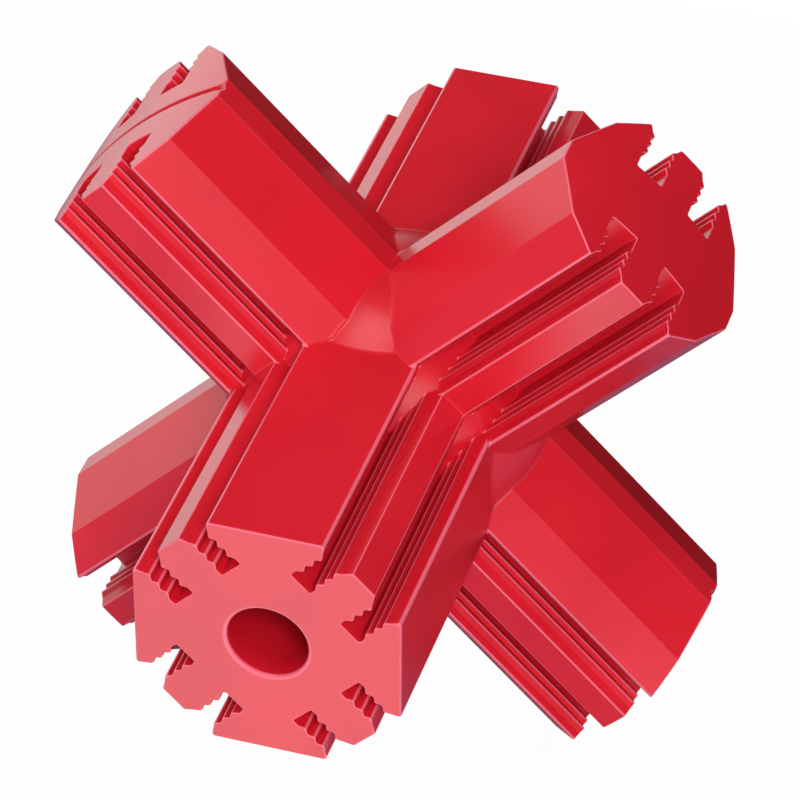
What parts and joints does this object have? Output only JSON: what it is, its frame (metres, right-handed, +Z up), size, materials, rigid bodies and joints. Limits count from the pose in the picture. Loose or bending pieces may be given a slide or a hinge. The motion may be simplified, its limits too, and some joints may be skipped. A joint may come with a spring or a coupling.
{
  "type": "rubber chew toy",
  "caption": "Moulded rubber jack for chewing: grooved arms on a ball hub, toothed groove walls and a blind hole in the end of the front arm.",
  "frame": {"origin": "on the floor, straight below the centre of the ball hub", "axes": "+Z up with the toy standing on its front arm and its two lower side arms; +X to the right side arms; +Y to the back arm, away from the bored end"},
  "size_m": [0.1016, 0.1212, 0.0955],
  "materials": {
    "red_rubber": "satin moulded rubber, bright red"
  },
  "bodies": {
    "root": {"hub": "red_rubber", "front_arm": "red_rubber", "back_arm": "red_rubber", "upper_left_arm": "red_rubber", "upper_right_arm": "red_rubber", "lower_left_arm": "red_rubber", "lower_right_arm": "red_rubber"}
  },
  "joints": []
}
